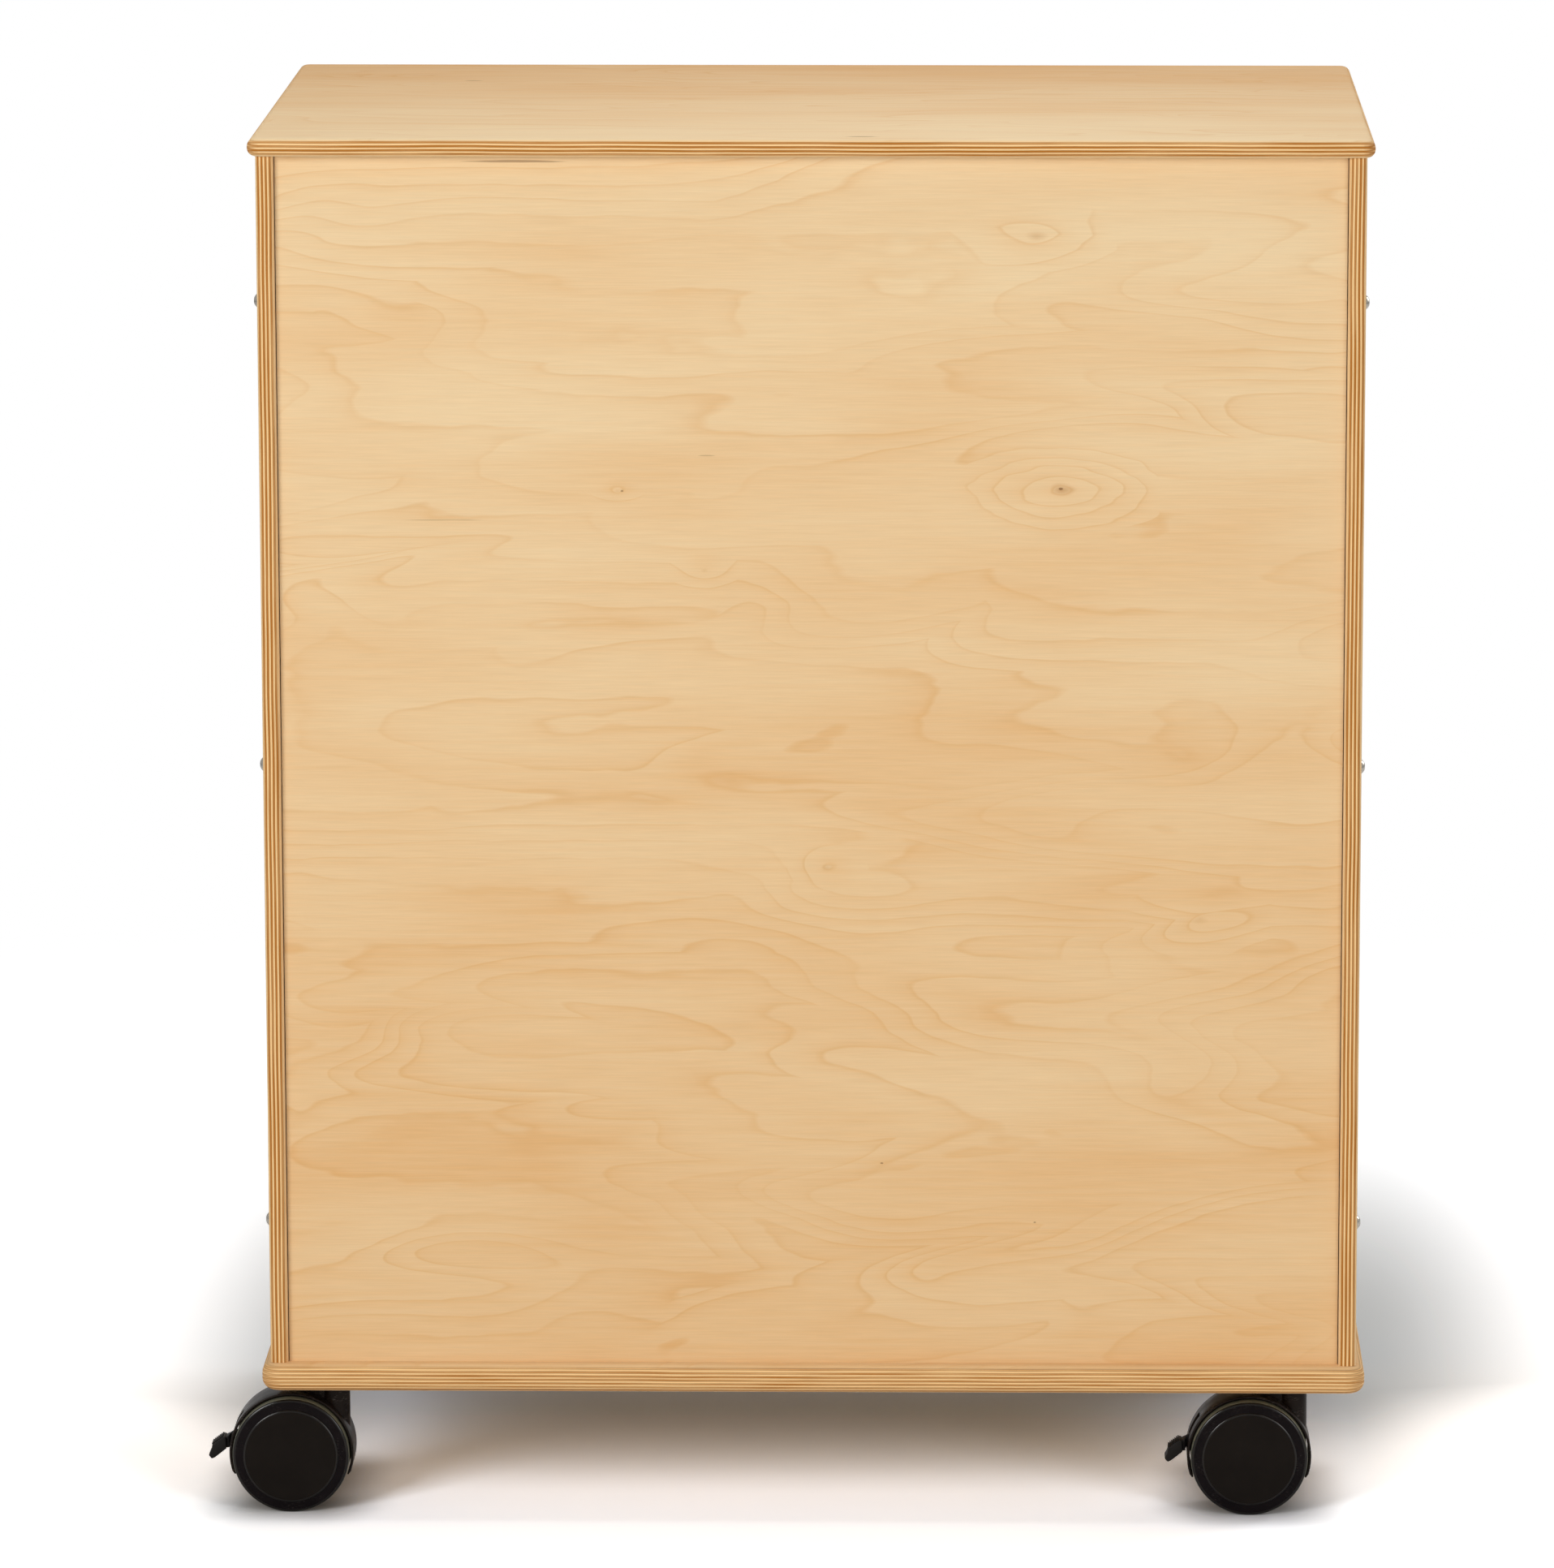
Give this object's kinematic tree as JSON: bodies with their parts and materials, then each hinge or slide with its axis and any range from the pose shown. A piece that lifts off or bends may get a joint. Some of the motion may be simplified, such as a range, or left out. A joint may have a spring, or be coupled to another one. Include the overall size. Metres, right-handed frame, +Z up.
{
  "type": "supply cabinet",
  "caption": "Mobile plywood supply cabinet with hinged doors, shelves and braked twin-wheel casters.",
  "frame": {"origin": "on the floor, under the middle of the whole object's box", "axes": "+Z up, -Y the closed back that the picture shows, +Y the side with the doors, +X to the right as the back is seen"},
  "size_m": [0.7924, 0.4814, 0.95],
  "materials": {
    "plywood_top": "clear-lacquered birch plywood, rounded and bare at its edges",
    "plywood_case": "clear-lacquered birch plywood",
    "screw_steel": "nickel-plated steel",
    "hardware_steel": "satin nickel-plated steel",
    "stem_steel": "zinc-plated steel",
    "hood_nylon": "black glass-filled nylon, moulded",
    "wheel_nylon": "black nylon, moulded",
    "lever_nylon": "black nylon, moulded",
    "catch_plastic": "pale moulded plastic"
  },
  "bodies": {
    "case": {"top_panel": "plywood_top", "base_panel": "plywood_case", "right_side": "plywood_case", "left_side": "plywood_case", "back_panel": "plywood_case", "lower_shelf": "plywood_case", "upper_shelf": "plywood_case", "side_screws": "screw_steel", "shelf_pins": "hardware_steel", "catch_bodies": "catch_plastic", "catch_poles": "hardware_steel", "right_hinge_frame_leaves": "hardware_steel", "left_hinge_frame_leaves": "hardware_steel", "right_hinge_pins": "hardware_steel", "left_hinge_pins": "hardware_steel", "caster_stems": "stem_steel", "caster_nuts": "stem_steel"},
    "left_door": {"left_door": "plywood_case", "left_hinge_door_leaves": "hardware_steel", "left_pull": "hardware_steel", "left_strike": "hardware_steel"},
    "right_door": {"right_door": "plywood_case", "right_hinge_door_leaves": "hardware_steel", "right_pull": "hardware_steel", "right_strike": "hardware_steel"},
    "rear_left_caster": {"rear_left_hood": "hood_nylon", "rear_left_axle": "stem_steel"},
    "rear_left_outer_wheel": {"rear_left_outer_wheel": "wheel_nylon"},
    "rear_left_inner_wheel": {"rear_left_inner_wheel": "wheel_nylon"},
    "rear_left_brake_lever": {"rear_left_brake_lever": "lever_nylon"},
    "rear_right_caster": {"rear_right_hood": "hood_nylon", "rear_right_axle": "stem_steel"},
    "rear_right_outer_wheel": {"rear_right_outer_wheel": "wheel_nylon"},
    "rear_right_inner_wheel": {"rear_right_inner_wheel": "wheel_nylon"},
    "rear_right_brake_lever": {"rear_right_brake_lever": "lever_nylon"},
    "front_left_caster": {"front_left_hood": "hood_nylon", "front_left_axle": "stem_steel"},
    "front_left_outer_wheel": {"front_left_outer_wheel": "wheel_nylon"},
    "front_left_inner_wheel": {"front_left_inner_wheel": "wheel_nylon"},
    "front_left_brake_lever": {"front_left_brake_lever": "lever_nylon"},
    "front_right_caster": {"front_right_hood": "hood_nylon", "front_right_axle": "stem_steel"},
    "front_right_outer_wheel": {"front_right_outer_wheel": "wheel_nylon"},
    "front_right_inner_wheel": {"front_right_inner_wheel": "wheel_nylon"},
    "front_right_brake_lever": {"front_right_brake_lever": "lever_nylon"}
  },
  "joints": [
    {"name": "left_door_hinge", "type": "hinge", "parent": "case", "child": "left_door", "pos_m": [-0.33642, 0.214, 0.52425], "axis": [0, 0, 1], "range_deg": [0, 180]},
    {"name": "right_door_hinge", "type": "hinge", "parent": "case", "child": "right_door", "pos_m": [0.37678, 0.214, 0.52425], "axis": [0, 0, -1], "range_deg": [0, 180]},
    {"name": "rear_left_swivel", "type": "hinge", "parent": "case", "child": "rear_left_caster", "pos_m": [-0.30833, -0.1932, 0.091], "axis": [0, 0, 1], "continuous": true},
    {"name": "rear_left_outer_wheel_spin", "type": "hinge", "parent": "rear_left_caster", "child": "rear_left_outer_wheel", "pos_m": [-0.33832, -0.1932, 0.04], "axis": [0, 1, 0], "continuous": true},
    {"name": "rear_left_inner_wheel_spin", "type": "hinge", "parent": "rear_left_caster", "child": "rear_left_inner_wheel", "pos_m": [-0.33832, -0.1932, 0.04], "axis": [0, 1, 0], "continuous": true},
    {"name": "rear_left_brake_lever_lift", "type": "hinge", "parent": "rear_left_caster", "child": "rear_left_brake_lever", "pos_m": [-0.33832, -0.1932, 0.04], "axis": [0, 1, 0], "range_deg": [0, 20]},
    {"name": "rear_right_swivel", "type": "hinge", "parent": "case", "child": "rear_right_caster", "pos_m": [0.34868, -0.1932, 0.091], "axis": [0, 0, 1], "continuous": true},
    {"name": "rear_right_outer_wheel_spin", "type": "hinge", "parent": "rear_right_caster", "child": "rear_right_outer_wheel", "pos_m": [0.31867, -0.1932, 0.04], "axis": [0, 1, 0], "continuous": true},
    {"name": "rear_right_inner_wheel_spin", "type": "hinge", "parent": "rear_right_caster", "child": "rear_right_inner_wheel", "pos_m": [0.31867, -0.1932, 0.04], "axis": [0, 1, 0], "continuous": true},
    {"name": "rear_right_brake_lever_lift", "type": "hinge", "parent": "rear_right_caster", "child": "rear_right_brake_lever", "pos_m": [0.31867, -0.1932, 0.04], "axis": [0, 1, 0], "range_deg": [0, 20]},
    {"name": "front_left_swivel", "type": "hinge", "parent": "case", "child": "front_left_caster", "pos_m": [-0.30833, 0.1716, 0.091], "axis": [0, 0, 1], "continuous": true},
    {"name": "front_left_outer_wheel_spin", "type": "hinge", "parent": "front_left_caster", "child": "front_left_outer_wheel", "pos_m": [-0.27832, 0.1716, 0.04], "axis": [0, 1, 0], "continuous": true},
    {"name": "front_left_inner_wheel_spin", "type": "hinge", "parent": "front_left_caster", "child": "front_left_inner_wheel", "pos_m": [-0.27832, 0.1716, 0.04], "axis": [0, 1, 0], "continuous": true},
    {"name": "front_left_brake_lever_lift", "type": "hinge", "parent": "front_left_caster", "child": "front_left_brake_lever", "pos_m": [-0.27832, 0.1716, 0.04], "axis": [0, -1, 0], "range_deg": [0, 20]},
    {"name": "front_right_swivel", "type": "hinge", "parent": "case", "child": "front_right_caster", "pos_m": [0.34868, 0.1716, 0.091], "axis": [0, 0, 1], "continuous": true},
    {"name": "front_right_outer_wheel_spin", "type": "hinge", "parent": "front_right_caster", "child": "front_right_outer_wheel", "pos_m": [0.31867, 0.1716, 0.04], "axis": [0, 1, 0], "continuous": true},
    {"name": "front_right_inner_wheel_spin", "type": "hinge", "parent": "front_right_caster", "child": "front_right_inner_wheel", "pos_m": [0.31867, 0.1716, 0.04], "axis": [0, 1, 0], "continuous": true},
    {"name": "front_right_brake_lever_lift", "type": "hinge", "parent": "front_right_caster", "child": "front_right_brake_lever", "pos_m": [0.31867, 0.1716, 0.04], "axis": [0, 1, 0], "range_deg": [0, 20]}
  ]
}
